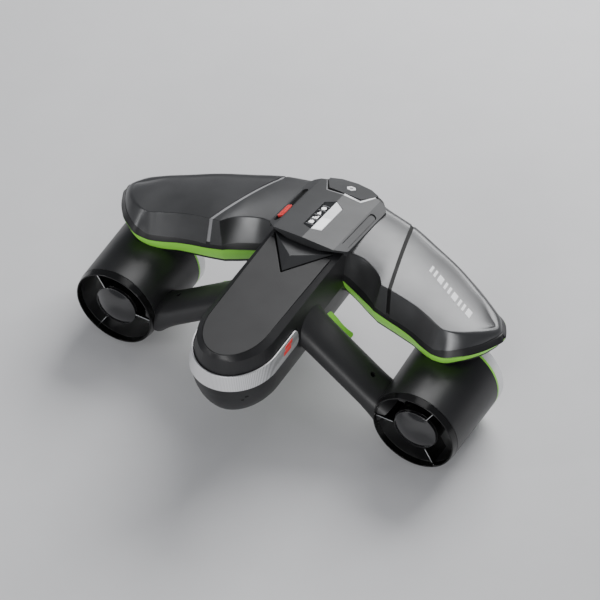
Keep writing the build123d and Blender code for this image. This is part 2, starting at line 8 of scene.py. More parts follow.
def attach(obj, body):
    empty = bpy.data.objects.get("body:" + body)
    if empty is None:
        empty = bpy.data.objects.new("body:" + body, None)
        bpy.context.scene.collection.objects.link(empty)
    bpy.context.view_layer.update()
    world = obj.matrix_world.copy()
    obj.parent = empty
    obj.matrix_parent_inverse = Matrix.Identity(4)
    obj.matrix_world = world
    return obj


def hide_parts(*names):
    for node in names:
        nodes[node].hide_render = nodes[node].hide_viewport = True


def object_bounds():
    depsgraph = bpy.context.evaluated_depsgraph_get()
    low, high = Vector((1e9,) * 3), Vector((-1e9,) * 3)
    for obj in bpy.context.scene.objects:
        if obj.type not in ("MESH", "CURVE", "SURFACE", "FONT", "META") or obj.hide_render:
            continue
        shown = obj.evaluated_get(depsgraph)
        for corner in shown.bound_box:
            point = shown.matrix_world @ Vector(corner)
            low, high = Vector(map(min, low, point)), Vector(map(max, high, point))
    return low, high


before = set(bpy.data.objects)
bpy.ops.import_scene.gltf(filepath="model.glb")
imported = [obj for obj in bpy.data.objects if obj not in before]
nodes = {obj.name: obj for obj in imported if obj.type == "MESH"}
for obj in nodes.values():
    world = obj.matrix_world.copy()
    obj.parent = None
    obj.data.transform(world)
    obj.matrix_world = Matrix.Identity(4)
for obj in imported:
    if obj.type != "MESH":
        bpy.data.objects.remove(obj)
cad_low, cad_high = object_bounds()
MM = 0.001
SIDES = (("right", 1), ("left", -1))


# ---------------------------------------------------------------- materials
class Finish:
    """A node material on one Principled shader, with textures in object coordinates (metres)."""

    COAT_ROUGHNESS = 0.1

    def __init__(self, name, rough, metal=0.0, specular=0.5, coat=0.0):
        self.material = bpy.data.materials.new(name)
        self.material.use_nodes = True
        self.tree = self.material.node_tree
        self.shader = self.tree.nodes["Principled BSDF"]
        self.shader.inputs["Roughness"].default_value = rough
        self.shader.inputs["Metallic"].default_value = metal
        self.shader.inputs["Specular IOR Level"].default_value = specular
        self.shader.inputs["Coat Weight"].default_value = coat
        self.shader.inputs["Coat Roughness"].default_value = self.COAT_ROUGHNESS
        self.coord = self.node("ShaderNodeTexCoord").outputs["Object"]

    def node(self, kind, **inputs):
        made = self.tree.nodes.new(kind)
        for key, value in inputs.items():
            made.inputs[key.replace("_", " ")].default_value = value
        return made

    def join(self, source, target):
        self.tree.links.new(source, target)

    def stretched(self, scale):
        mapping = self.node("ShaderNodeMapping")
        mapping.inputs["Scale"].default_value = scale
        self.join(self.coord, mapping.inputs["Vector"])
        return mapping.outputs["Vector"]

    def noise(self, scale, detail=3.0, vector=None):
        made = self.node("ShaderNodeTexNoise", Scale=scale, Detail=detail)
        self.join(vector or self.coord, made.inputs["Vector"])
        return made.outputs["Fac"]

    def colours(self, source, dark, light, low=0.35, high=0.65):
        ramp = self.node("ShaderNodeValToRGB")
        ramp.color_ramp.elements[0].position = low
        ramp.color_ramp.elements[0].color = (*dark, 1)
        ramp.color_ramp.elements[1].position = high
        ramp.color_ramp.elements[1].color = (*light, 1)
        self.join(source, ramp.inputs["Fac"])
        self.join(ramp.outputs["Color"], self.shader.inputs["Base Color"])

    def roughness(self, source, low, high):
        spread = self.node("ShaderNodeMapRange")
        spread.inputs["To Min"].default_value = low
        spread.inputs["To Max"].default_value = high
        self.join(source, spread.inputs["Value"])
        self.join(spread.outputs["Result"], self.shader.inputs["Roughness"])

    def bump(self, source, strength, distance=0.0002):
        made = self.node("ShaderNodeBump", Strength=strength, Distance=distance)
        self.join(source, made.inputs["Height"])
        self.join(made.outputs["Normal"], self.shader.inputs["Normal"])


def tone(colour, factor):
    return tuple(min(1.0, part * factor) for part in colour)


def moulded(name, colour, rough, grain=0.1, grain_scale=1400, spread=0.05, variation=0.12, **shine):
    """Moulded plastic: slight cloudiness, fine texture from the tool and uneven gloss."""
    finish = Finish(name, rough, **shine)
    cloud = finish.noise(14)
    finish.colours(cloud, tone(colour, 1 - variation), tone(colour, 1 + variation))
    finish.roughness(finish.noise(60, 4), rough - spread, rough + spread)
    finish.bump(finish.noise(grain_scale, 2), grain)
    return finish.material


def brushed(name, colour, rough, direction, strength=0.25):
    """Metal with fine lines; the texture's scale along x, y and z gives their direction."""
    finish = Finish(name, rough, metal=1.0)
    lines = finish.noise(1.0, 5, finish.stretched(direction))
    finish.colours(lines, tone(colour, 0.8), tone(colour, 1.15), 0.3, 0.7)
    finish.roughness(lines, rough - 0.08, rough + 0.12)
    finish.bump(lines, strength, 0.0001)
    return finish.material


def hatched_metal(name, colour, rough):
    """Anodised band with a fine crossed hatch."""
    finish = Finish(name, rough, metal=0.75)
    hatch = finish.node("ShaderNodeTexWave", Scale=330.0, Distortion=1.2, Detail=2.0)
    finish.join(finish.stretched((0.5, 1.0, 0.9)), hatch.inputs["Vector"])
    finish.colours(hatch.outputs["Fac"], tone(colour, 0.82), tone(colour, 1.1), 0.2, 0.8)
    finish.roughness(finish.noise(900, 3), rough - 0.06, rough + 0.1)
    finish.bump(hatch.outputs["Fac"], 0.35, 0.00012)
    return finish.material


# Emission on a surface that is no lamp: painted glow.
def painted_glow(name, colour, strength):
    finish = Finish(name, 0.3)
    finish.colours(finish.noise(70), tone(colour, 0.92), colour)
    finish.shader.inputs["Emission Color"].default_value = (*colour, 1)
    finish.shader.inputs["Emission Strength"].default_value = strength
    return finish.material


VIVID_GREEN = (0.34, 0.90, 0.09)

paint = {
    "cover": moulded(
        "satin_graphite", (0.076, 0.077, 0.079), 0.33, 0.05, spread=0.03, metal=0.55, specular=0.6,
    ),
    "console": moulded(
        "console_graphite", (0.046, 0.047, 0.049), 0.42, 0.06, spread=0.03, metal=0.12, specular=0.32,
    ),
    "body": moulded("body_black", (0.013, 0.013, 0.014), 0.42, 0.12, specular=0.4),
    "lid": moulded("lid_graphite", (0.030, 0.030, 0.031), 0.5, 0.15, specular=0.3),
    "grip": moulded("grip_black", (0.018, 0.018, 0.019), 0.46, 0.2, 900, specular=0.5),
    "duct": moulded("duct_black", (0.012, 0.012, 0.013), 0.40, 0.12, specular=0.5),
    "gloss": moulded(
        "gloss_black", (0.004, 0.004, 0.004), 0.2, 0.02, spread=0.03, specular=0.35, coat=0.1,
    ),
    "dome": moulded(
        "dome_black", (0.012, 0.012, 0.013), 0.14, 0.01, spread=0.03, specular=0.7, coat=0.5,
    ),
    # Black for painted shade: the right joint strip, the bezel's left inner band, the key channel's
    # floor, the groove under the chevron and the drain holes.
    "painted_shade": moulded("painted_shade_black", (0.006, 0.006, 0.006), 0.6, 0.1, specular=0.2),
    # Grey: print on the display's rules, and painted light on the left joint strip and the bezel's left
    # outer band.
    "joint": moulded("joint_grey", (0.30, 0.30, 0.31), 0.42, 0.08),
    "green": moulded("vivid_green", VIVID_GREEN, 0.42, 0.08, variation=0.05, specular=0.4),
    "stripe": moulded("stripe_green", VIVID_GREEN, 0.35, 0.05, variation=0.05),
    "red": moulded("signal_red", (0.95, 0.06, 0.055), 0.38, 0.08, variation=0.05),
    # White: the right wing's printed bars, and a painted highlight on the bezel's right band.
    "white": moulded("white_print_and_painted_highlight", (0.93, 0.93, 0.94), 0.45, 0.05, variation=0.03),
    "silver": moulded("inlet_silver", (0.86, 0.86, 0.87), 0.34, 0.03, variation=0.04, metal=0.35),
    # Light metal for the bars on the vanes' rear edges: a painted highlight.
    "edge": brushed("painted_highlight_metal", (0.86, 0.87, 0.88), 0.22, (60, 60, 700), 0.1),
    "band": hatched_metal("anodised_band", (0.72, 0.72, 0.73), 0.42),
    "steel": brushed("machined_steel", (0.62, 0.63, 0.65), 0.28, (700, 40, 700)),
    "copper": brushed("copper_wire", (0.75, 0.33, 0.16), 0.32, (900, 900, 60)),
    "brass": brushed("contact_brass", (0.78, 0.58, 0.22), 0.28, (400, 400, 400)),
    "inner": moulded("inner_black", (0.03, 0.03, 0.03), 0.6, 0.2),
    "wrap": moulded("cell_wrap", (0.10, 0.22, 0.40), 0.35, 0.05),
    "rubber": moulded("seal_rubber", (0.02, 0.02, 0.02), 0.75, 0.25),
    "board": moulded("board_green", (0.03, 0.16, 0.07), 0.45, 0.2, 600),
    "foam": moulded("closed_foam", (0.75, 0.74, 0.70), 0.85, 0.6, 500),
    "nut": moulded("bright_nut", (0.93, 0.93, 0.94), 0.35, 0.02, variation=0.03),
    "screen": moulded("screen_black", (0.006, 0.007, 0.008), 0.2, 0.02, specular=0.6),
    # Painted glow on the display's printed gauge and icons, and a dim painted reflection on its right
    # half.
    "gauge_painted_glow": painted_glow("gauge_print_painted_glow", (0.86, 0.87, 0.88), 0.55),
    "painted_reflection": painted_glow("screen_painted_reflection", (0.62, 0.63, 0.64), 0.35),
    "icon": painted_glow("icon_print_painted_glow", (0.95, 0.95, 0.95), 0.8),
}


# ---------------------------------------------------------------- mesh helpers
# Angles in degrees, lengths in mm.
SHARP_ANGLE = 32.0
MERGE_ANGLE = 0.6
MERGE_DISTANCE = 0.01
PATCH_LIFT = 0.15
PATCH_THICKNESS = 0.3
SKIN_THICKNESS = 3.0
UNDERSIDE_THICKNESS = 1.5


def as_object(name, verts, faces):
    """Object from points in millimetres."""
    mesh = bpy.data.meshes.new(name)
    mesh.from_pydata([Vector(v) * MM for v in verts], [], faces)
    mesh.update()
    made = bpy.data.objects.new(name, mesh)
    bpy.context.scene.collection.objects.link(made)
    return made


def settle(piece):
    """Apply the piece's modifiers."""
    graph = bpy.context.evaluated_depsgraph_get()
    mesh = bpy.data.meshes.new_from_object(piece.evaluated_get(graph))
    piece.modifiers.clear()
    piece.data = mesh


def soften(mesh, angle=None):
    for face in mesh.polygons:
        face.use_smooth = True
    if angle:
        mesh.set_sharp_from_angle(angle=radians(angle))


def dress(piece, material, body, stands_for=(), smooth=SHARP_ANGLE):
    """Give a piece its finish and its place in the frame; a rounded piece keeps its own normals."""
    piece.data.materials.clear()
    piece.data.materials.append(paint[material])
    if not piece.get("rounded"):
        soften(piece.data, smooth)
    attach(piece, body)
    if stands_for:
        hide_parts(*stands_for)
    return piece


def rounded(piece, width, steps=3, angle=SHARP_ANGLE):
    """Round the sharp edges and weight the normals towards the large faces."""
    soften(piece.data)
    piece["rounded"] = True
    bevel = piece.modifiers.new("edges", "BEVEL")
    bevel.width = width * MM
    bevel.segments = steps
    bevel.limit_method = "ANGLE"
    bevel.angle_limit = radians(angle)
    bevel.use_clamp_overlap = True
    bevel.miter_outer = "MITER_ARC"
    weighted = piece.modifiers.new("normals", "WEIGHTED_NORMAL")
    weighted.keep_sharp = True
    settle(piece)


def clean_copy(node):
    """Bmesh of a CAD node with its facets merged into clean faces."""
    work = bmesh.new()
    work.from_mesh(nodes[node].data)
    bmesh.ops.remove_doubles(work, verts=work.verts, dist=2e-6)
    bmesh.ops.dissolve_limit(work, angle_limit=radians(MERGE_ANGLE), verts=work.verts, edges=work.edges)
    return work


def bare_object(name, work):
    """Object from a bmesh, with no carried-over normals."""
    work.verts.index_update()
    points = [v.co.copy() / MM for v in work.verts]
    faces = [[v.index for v in f.verts] for f in work.faces]
    work.free()
    return as_object(name, points, faces)


def refined(node, material, body, width=0.6, angle=SHARP_ANGLE):
    """A CAD node's shape with rounded edges, standing for the node."""
    piece = bare_object(f"{node}_skin", clean_copy(node))
    rounded(piece, width, angle=angle)
    return dress(piece, material, body, (node,))


def thicken(piece, thickness, offset=-1.0, even=False):
    """Turn an open surface into a closed shell."""
    shell = piece.modifiers.new("shell", "SOLIDIFY")
    shell.thickness = thickness * MM
    shell.offset = offset
    shell.use_even_offset = even
    settle(piece)


def cut(piece, cutter):
    """Take the cutter's shape out of the piece."""
    tidy(cutter)
    boolean = piece.modifiers.new("cut", "BOOLEAN")
    boolean.object = cutter
    boolean.operation = "DIFFERENCE"
    boolean.solver = "EXACT"
    settle(piece)
    bpy.data.objects.remove(cutter)


def sided(name, side, verts, faces):
    """Object for one side; the left one is the right one's mirror image."""
    if side < 0:
        verts = [(-x, y, z) for x, y, z in verts]
        faces = [list(reversed(face)) for face in faces]
    return as_object(name, verts, faces)


def tidy(piece, distance=0.02):
    """Merge points closer than the distance in mm and turn every face outward."""
    work = bmesh.new()
    work.from_mesh(piece.data)
    bmesh.ops.remove_doubles(work, verts=work.verts, dist=distance * MM)
    bmesh.ops.recalc_face_normals(work, faces=work.faces)
    work.to_mesh(piece.data)
    work.free()


def print_and_shade_patch(name, target, corners, direction, material, body, steps=(8, 4)):
    """Thin patch, for print and for painted shade: four corners in mm, thrown along a direction on to a
    piece's surface.
    """
    tree = BVHTree.FromObject(target, bpy.context.evaluated_depsgraph_get())
    heading = Vector(direction).normalized()
    a, b, c, d = (Vector(corner) for corner in corners)
    verts = []
    for i in range(steps[0] + 1):
        for j in range(steps[1] + 1):
            u, v = i / steps[0], j / steps[1]
            start = a.lerp(b, u).lerp(d.lerp(c, u), v)
            hit = tree.ray_cast(start * MM, heading)[0]
            verts.append((hit or start * MM) / MM - heading * PATCH_LIFT)
    piece = as_object(name, verts, strip_faces(steps[0] + 1, steps[1] + 1))
    thicken(piece, PATCH_THICKNESS, offset=0)
    tidy(piece, 0.001)
    return dress(piece, material, body)


# ---------------------------------------------------------------- wings
# Stations round the right wing in mm. Each has three points: the cover's top edge, the lip where
# the green trim starts, and the trim's foot. The rear runs from the hull to the tip in two chains
# that meet at a corner, and the front runs from the tip back to the hull.
rear_root = [
    ((48, 79, 206), (48, 57, 166), (48, 68, 138)),
    ((57, 75, 206), (57, 55, 165.5), (57, 66, 137)),
    ((85, 72, 205.5), (83, 46.5, 162), (85, 57, 132)),
    ((107, 62, 205.5), (104, 38, 160), (106, 48, 128.5)),
    ((122, 50.5, 206), (117, 33, 158.5), (119, 43, 126.5)),
    ((131.5, 37.5, 206), (124, 30, 157), (126, 40, 125.5)),
]
rear_tip = [
    ((131.5, 37.5, 206), (124, 30, 157), (126, 40, 125.5)),
    ((148, 36.5, 204), (148, 28, 151), (149, 37.5, 122)),
    ((170, 35, 200.5), (170, 23.5, 150), (170, 31, 124)),
    ((192, 32, 197), (192, 16.5, 150), (192, 24, 126)),
    ((215, 25, 194), (211, 8, 150), (212, 15, 127.5)),
    ((230, 19.2, 192.3), (225, 2.6, 150.5), (226, 10, 129)),
    ((241, 16.2, 191.5), (234, 0, 151.5), (235, 7.5, 131)),
    ((250, 18.3, 191), (250, -2.5, 156), (250, 7.0, 135)),
    ((262, 25, 190), (271, 7, 160.5), (269, 16.5, 141)),
    ((277, 39, 187), (289, 24.5, 161), (285, 31.5, 144)),
    ((289, 56, 181), (303, 47, 160.5), (297, 50, 146)),
    ((294, 75, 174), (310.5, 73, 158.5), (302, 73, 147)),
]
front = [
    ((283, 85, 174.5), (300, 96, 157), (290, 90, 147)),
    ((262, 104, 175.5), (277, 114, 157), (269, 103, 146)),
    ((234, 121, 176), (244, 135.5, 158.5), (240, 124, 146)),
    ((192, 143, 180), (200, 158.5, 162), (196, 146, 148)),
    ((150, 158, 184), (156, 176.5, 166.5), (153, 164, 150)),
    ((107, 173, 189), (110, 192.5, 171), (108, 178, 153)),
    ((57, 183, 192), (57, 203, 178), (57, 190, 156)),
    ((48, 185, 192.5), (48, 205, 179), (48, 192, 157)),
]

# Smoothness: frames between two stations, where the rounded tip begins (in stations), and steps.
FRAME_STEPS = 6
TIP_FROM = 6.5
SEARCH_ROUNDS = 40
EDGE_STEPS = 4
WALL_STEPS = 9
TOP_STEPS = 14
UNDERSIDE_STEPS = 10
TRIM_STEPS = 7

# Sizes in mm. The crown and the sag fade out where the wing is narrower than WIDE_WING.
EDGE_ROUND = 1.8
CROWN = 5.0
SAG = 2.0
WIDE_WING = 110
BAND_HEIGHT = 7.6
BAND_INSET = 1.5
TUCK_UP, TUCK_IN = 2.5, 1.6
LEDGE = 1.2
HEEL_INSET, HEEL_HEIGHT = 1.8, 2
TRIM_BULGE = 1.1
TRIM_DEPTH = 2.4
GROOVE_POINT = Vector((128.3, 98.0, 0)) * MM
GROOVE_NORMAL = Vector((cos(radians(15.4)), sin(radians(15.4)), 0))
GROOVE_HALF = 2.75
JOINT_OVERLAP = 1.5
JOINT_DEPTH = 1.3
JOINT_THICKNESS = 1.2
TINY = 1e-6

# The trim covers a share of the way to its foot. It starts some frames out from the hull, runs
# round the tip and ends some frames back along the front, and thins out over a few at each end.
TRIM_SHARE = 0.84
TRIM_FIRST = 5
TRIM_ON_FRONT = 12
TRIM_THIN_FIRST, TRIM_THIN_LAST = 6, 7


def vectors(chain):
    return [[Vector(point) for point in entry] for entry in chain]


def tangents(chain):
    """Slope at each station and the gaps between the stations."""
    gaps = [(after[0] - before[0]).length for before, after in zip(chain, chain[1:])]
    slopes = [[(b - a) / gap for a, b in zip(chain[i], chain[i + 1])] for i, gap in enumerate(gaps)]
    result = [slopes[0]]
    for i in range(1, len(chain) - 1):
        total = gaps[i - 1] + gaps[i]
        pairs = zip(slopes[i - 1], slopes[i])
        result.append([(p * gaps[i] + q * gaps[i - 1]) / total for p, q in pairs])
    return result + [slopes[-1]], gaps


def along(chain, slopes, gaps, u):
    """Smooth curve through the stations at parameter u."""
    i = min(int(u), len(chain) - 2)
    t = u - i
    h = gaps[i]
    a, b = 2 * t**3 - 3 * t**2 + 1, t**3 - 2 * t**2 + t
    c, d = -2 * t**3 + 3 * t**2, t**3 - t**2
    return [
        p * a + m * (b * h) + q * c + n * (d * h)
        for p, m, q, n in zip(chain[i], slopes[i], chain[i + 1], slopes[i + 1])
    ]


def wing_frames():
    """Matched rear and front frames from root to tip, each (top edge, lip, foot, roundness)."""
    root = vectors(rear_root)
    outer = vectors(rear_tip + front)
    tip_index = len(rear_tip) - 1
    root_slopes, root_gaps = tangents(root)
    outer_slopes, outer_gaps = tangents(outer)
    rear_frames = []
    for k in range((len(root) - 1) * FRAME_STEPS + 1):
        rear_frames.append(along(root, root_slopes, root_gaps, k / FRAME_STEPS) + [0.0])
    for k in range(1, tip_index * FRAME_STEPS + 1):
        u = k / FRAME_STEPS
        soft = min(1.0, max(0.0, (u - TIP_FROM) / (tip_index - TIP_FROM)))
        rear_frames.append(along(outer, outer_slopes, outer_gaps, u) + [soft * soft * (3 - 2 * soft)])
    front_frames = []
    for rear_frame in rear_frames[:-1]:
        low, high = float(tip_index), float(len(outer) - 1)
        for _ in range(SEARCH_ROUNDS):
            middle = (low + high) / 2
            if along(outer, outer_slopes, outer_gaps, middle)[0].x > rear_frame[0].x:
                low = middle
            else:
                high = middle
        front_frames.append(along(outer, outer_slopes, outer_gaps, low) + [1.0])
    return rear_frames, front_frames + [rear_frames[-1]]


def cover_foot(this):
    """Bottom edge of the cover, a dark band's height above the trim."""
    return this[1] + (this[0] - this[1]).normalized() * BAND_HEIGHT


def wall_profile(this, other):
    """Points from the top surface over the edge and down to the cover's foot."""
    top, _, _, soft = this
    lip = cover_foot(this)
    inward = other[0] - top
    inward = inward.normalized() if inward.length > TINY else Vector((-1, 0, 0))
    down = (lip - top).normalized()
    level = Vector((lip.x - top.x, lip.y - top.y, 0))
    fall = Vector((0, 0, lip.z - top.z))
    start, end = top + inward * EDGE_ROUND, top + down * EDGE_ROUND
    points = []
    for k in range(WALL_STEPS + 1):
        if k <= EDGE_STEPS:
            t = k / EDGE_STEPS
            crisp = start * (1 - t) ** 2 + top * (2 * t * (1 - t)) + end * t * t
        else:
            crisp = end.lerp(lip, (k - EDGE_STEPS) / (WALL_STEPS - EDGE_STEPS))
        angle = pi / 2 * k / WALL_STEPS
        oval = top + level * sin(angle) + fall * (1 - cos(angle))
        points.append(crisp.lerp(oval, soft))
    return points


def outward(this, other):
    """Level direction out of the wing at a frame."""
    level = this[1] - other[1]
    level.z = 0
    return level.normalized() if level.length > TINY else Vector((1, 0, 0))


def strip_faces(columns, rows, first=0):
    """Quads over a grid of columns, each column holding the same number of rows."""
    faces = []
    for i in range(columns - 1):
        for j in range(rows - 1):
            a = first + i * rows + j
            faces.append([a, a + 1, a + rows + 1, a + rows])
    return faces


def wing_cover_surface(rear_frames, front_frames):
    """Open surface over the wing, from the rear cover foot over the crown to the front one."""
    count = len(rear_frames)
    columns = []
    for i in range(count):
        rear_wall = wall_profile(rear_frames[i], front_frames[i])
        front_wall = wall_profile(front_frames[i], rear_frames[i])
        if i == count - 1:
            front_wall = rear_wall
        near, far = rear_wall[0], front_wall[0]
        rise = CROWN * min(1.0, (far - near).length / WIDE_WING)
        top = []
        for k in range(1, TOP_STEPS):
            t = k / TOP_STEPS
            top.append(near.lerp(far, t) + Vector((0, 0, rise * 4 * t * (1 - t))))
        columns.append(list(reversed(rear_wall)) + top + front_wall)
    rows = len(columns[0])
    return [p for column in columns for p in column], strip_faces(count, rows)


def sunk(frames, others, depth):
    """The same frames moved in under the surface."""
    result = []
    for this, other in zip(frames, others):
        out = outward(this, other)
        top = this[0] - out * depth - Vector((0, 0, depth))
        result.append([top, this[1] - out * depth, this[2], this[3]])
    return result


def keep_side(work, offset, keep_outer):
    """Cut the bmesh by a plane parallel to the joint groove and keep one side."""
    point = GROOVE_POINT + GROOVE_NORMAL * offset * MM
    geometry = work.verts[:] + work.edges[:] + work.faces[:]
    bmesh.ops.bisect_plane(
        work, geom=geometry, dist=1e-7, plane_co=point, plane_no=GROOVE_NORMAL,
        clear_inner=keep_outer, clear_outer=not keep_outer,
    )


def open_surface(verts, faces):
    """Bmesh of an open surface in mm, with the points that meet merged."""
    work = bmesh.new()
    corners = [work.verts.new(Vector(v) * MM) for v in verts]
    for face in faces:
        work.faces.new([corners[i] for i in face])
    bmesh.ops.remove_doubles(work, verts=work.verts, dist=MERGE_DISTANCE * MM)
    bmesh.ops.dissolve_degenerate(work, edges=work.edges, dist=MERGE_DISTANCE * MM)
    return work


def side_shell(name, side, work, thickness, upward, even):
    """Closed shell for one side from a surface that faces up (upward 1) or down (upward -1)."""
    bmesh.ops.recalc_face_normals(work, faces=work.faces)
    extreme = max(work.faces, key=lambda f: f.calc_center_median().z * upward)
    if extreme.normal.z * upward < 0:
        bmesh.ops.reverse_faces(work, faces=work.faces)
    if side < 0:
        for vertex in work.verts:
            vertex.co.x = -vertex.co.x
        bmesh.ops.reverse_faces(work, faces=work.faces)
    piece = bare_object(name, work)
    thicken(piece, thickness, even=even)
    return piece


def skin_piece(name, side, surface, thickness, trims):
    """Closed shell under the (points, faces) surface, cut by planes along the joint groove."""
    work = open_surface(*surface)
    for offset, keep_outer in trims:
        keep_side(work, offset, keep_outer)
    return side_shell(name, side, work, thickness, 1, True)


def wing_lower(side, rear_frames, front_frames, label):
    """Dark band under the covers, the wall behind the trim and the underside."""
    loop = []
    pairs = list(zip(rear_frames, front_frames))
    pairs += list(zip(front_frames[-2::-1], rear_frames[-2::-1]))
    for this, other in pairs:
        out = outward(this, other)
        upper = cover_foot(this)
        heel = this[2] - out * HEEL_INSET
        loop.append([
            upper + Vector((0, 0, TUCK_UP)) - out * (BAND_INSET + TUCK_IN),
            upper - out * BAND_INSET,
            this[1] - out * BAND_INSET,
            this[1] - out * (BAND_INSET + LEDGE),
            heel + Vector((0, 0, HEEL_HEIGHT)),
            heel,
        ])
    rows = len(loop[0])
    verts = [p for column in loop for p in column]
    faces = strip_faces(len(loop), rows)
    count, base, across = len(rear_frames), len(verts), UNDERSIDE_STEPS + 1
    for i in range(count - 1):
        a, b = loop[i][-1], loop[len(loop) - 1 - i][-1]
        span = (b - a).length
        for k in range(across):
            t = k / UNDERSIDE_STEPS
            sag = -SAG * min(1.0, span / WIDE_WING) * 4 * t * (1 - t)
            verts.append(a.lerp(b, t) + Vector((0, 0, sag)))
    faces += strip_faces(count - 1, across, base)
    tip_vertex = count * rows - 1
    last_row = base + (count - 2) * across
    faces += [[a, a + 1, tip_vertex] for a in range(last_row, last_row + UNDERSIDE_STEPS)]
    work = open_surface(verts, faces)
    piece = side_shell(f"wing_underside_{label}", side, work, UNDERSIDE_THICKNESS, -1, False)
    dress(piece, "body", "hull", (f"wing_lower_shell_{label}",), smooth=28)


def wing_trim(side, rear_frames, front_frames, label):
    """Green strip under the lip, from beside the hull round the tip."""
    front_part = slice(-2, -2 - TRIM_ON_FRONT, -1)
    pairs = list(zip(rear_frames, front_frames))[TRIM_FIRST:]
    pairs += list(zip(front_frames[front_part], rear_frames[front_part]))
    columns = []
    for n, (this, other) in enumerate(pairs):
        out = outward(this, other)
        shoulder, foot = this[1], this[2]
        left = len(pairs) - 1 - n
        taper = min(1.0, 0.5 + n / TRIM_THIN_FIRST, 0.1 + left / TRIM_THIN_LAST)
        foot = shoulder.lerp(foot, taper * TRIM_SHARE)
        column = [shoulder - out * TRIM_DEPTH * taper]
        for k in range(TRIM_STEPS + 1):
            t = k / TRIM_STEPS
            swell = TRIM_BULGE * sin(pi * t) ** 0.7
            column.append(shoulder.lerp(foot, t) + out * swell * taper)
        column.append(foot - out * TRIM_DEPTH * taper)
        columns.append(column)
    rows = len(columns[0])
    verts = [p for column in columns for p in column]
    faces = []
    for i in range(len(columns) - 1):
        for j in range(rows):
            a, b = i * rows + j, i * rows + (j + 1) % rows
            faces.append([a, b, b + rows, a + rows])
    faces.append(list(reversed(range(rows))))
    last = (len(columns) - 1) * rows
    faces.append(list(range(last, last + rows)))
    piece = sided(f"wing_piping_{label}", side, verts, faces)
    tidy(piece)
    dress(piece, "green", "hull", (f"wing_trim_{label}",), smooth=38)


# Printed bars, thrown down from above: distance along the row and width in mm.
GRAPHIC_START = Vector((169.5, 108.0, 300.0))
GRAPHIC_ALONG = Vector((0.872, -0.490, 0.0))
GRAPHIC_ACROSS = Vector((-0.10, 1.0, 0.0))
GRAPHIC_BARS = ((2, 5), (12, 5), (22, 11), (38, 5), (48, 5), (58, 11), (74, 5), (84, 5), (94, 11))
GRAPHIC_HEIGHT = 14


def wing_graphic(target):
    """Row of slanted white bars along the right wing's front edge."""
    for n, (start, width) in enumerate(GRAPHIC_BARS):
        near = GRAPHIC_START + GRAPHIC_ALONG * start
        far = near + GRAPHIC_ALONG * width
        rise = GRAPHIC_ACROSS * GRAPHIC_HEIGHT
        corners = (near, far, far + rise, near + rise)
        print_and_shade_patch(f"wing_graphic_{n}", target, corners, (0, 0, -1), "white", "hull")


def build_wings():
    rear_frames, front_frames = wing_frames()
    surface = wing_cover_surface(rear_frames, front_frames)
    low_rear = sunk(rear_frames, front_frames, JOINT_DEPTH)
    low_front = sunk(front_frames, rear_frames, JOINT_DEPTH)
    low_surface = wing_cover_surface(low_rear, low_front)
    strip_edge = GROOVE_HALF + JOINT_OVERLAP
    for label, side in SIDES:
        covers = {}
        for part, trims in (("inner", [(-GROOVE_HALF, False)]), ("outer", [(GROOVE_HALF, True)])):
            name = f"wing_panel_{part}_{label}"
            covers[part] = skin_piece(name, side, surface, SKIN_THICKNESS, trims)
        for part, piece in covers.items():
            rounded(piece, 0.45, 2, 40)
            dress(piece, "cover", "hull", (f"wing_cover_{part}_{label}",))
        trims = [(-strip_edge, True), (strip_edge, False)]
        strip = skin_piece(f"wing_joint_{label}", side, low_surface, JOINT_THICKNESS, trims)
        # Lit and shaded copies of one strip: the right one black as painted shade, the left one grey as
        # painted light.
        finish = "painted_shade" if side > 0 else "joint"
        dress(strip, finish, "hull", (f"wing_joint_strip_{label}",), smooth=36)
        wing_lower(side, rear_frames, front_frames, label)
        wing_trim(side, rear_frames, front_frames, label)
        if side > 0:
            wing_graphic(covers["outer"])


# ---------------------------------------------------------------- handles
# Right handle's centre line in mm, with the length of the flare at each end and how much wider
# and taller the oval gets there.
HANDLE_START = Vector((50.0, -37.0, 160.6))
HANDLE_ANGLE = radians(36.2)
HANDLE_LENGTH = 172.0
HANDLE_ROOT = -26.0
ROOT_FLARE, ROOT_WIDER, ROOT_TALLER = 36, 0.08, 0.20
DUCT_FLARE, DUCT_WIDER, DUCT_TALLER = 46, 0.05, 0.30
HANDLE_AROUND = 56
HANDLE_STOPS = 44
GRIP_DEPTH = 31.4
GRIP_HEIGHT = 19.4
OVAL_POWER = 2 / 2.35

# Trigger pocket in the handle's own axes (along, fore and aft, half width) and the small hole.
POCKET_ALONG = (18.0, 70.0)
POCKET_DEPTH = (-31.0, 12.0)
POCKET_HALF = 5.5
HOLE_CENTRE = Vector((160, -34, 105))
HOLE_RADIUS = 4.0
HOLE_LENGTH = 40


def handle_axes():
    line = Vector((cos(HANDLE_ANGLE), 0, -sin(HANDLE_ANGLE)))
    return line, Vector((0, 1, 0)), Vector((sin(HANDLE_ANGLE), 0, cos(HANDLE_ANGLE)))


def handle_block(line_range, depth_range, half_width):
    """Box in the handle's own axes, as vertices and faces."""
    line, depth, height = handle_axes()
    base = Vector((HANDLE_START.x, 0, HANDLE_START.z))
    verts = []
    for s in line_range:
        for y in depth_range:
            for h in (-half_width, half_width):
                verts.append(base + line * s + depth * y + height * h)
    faces = [[0, 1, 3, 2], [4, 6, 7, 5], [0, 4, 5, 1], [2, 3, 7, 6], [0, 2, 6, 4], [1, 5, 7, 3]]
    return verts, faces


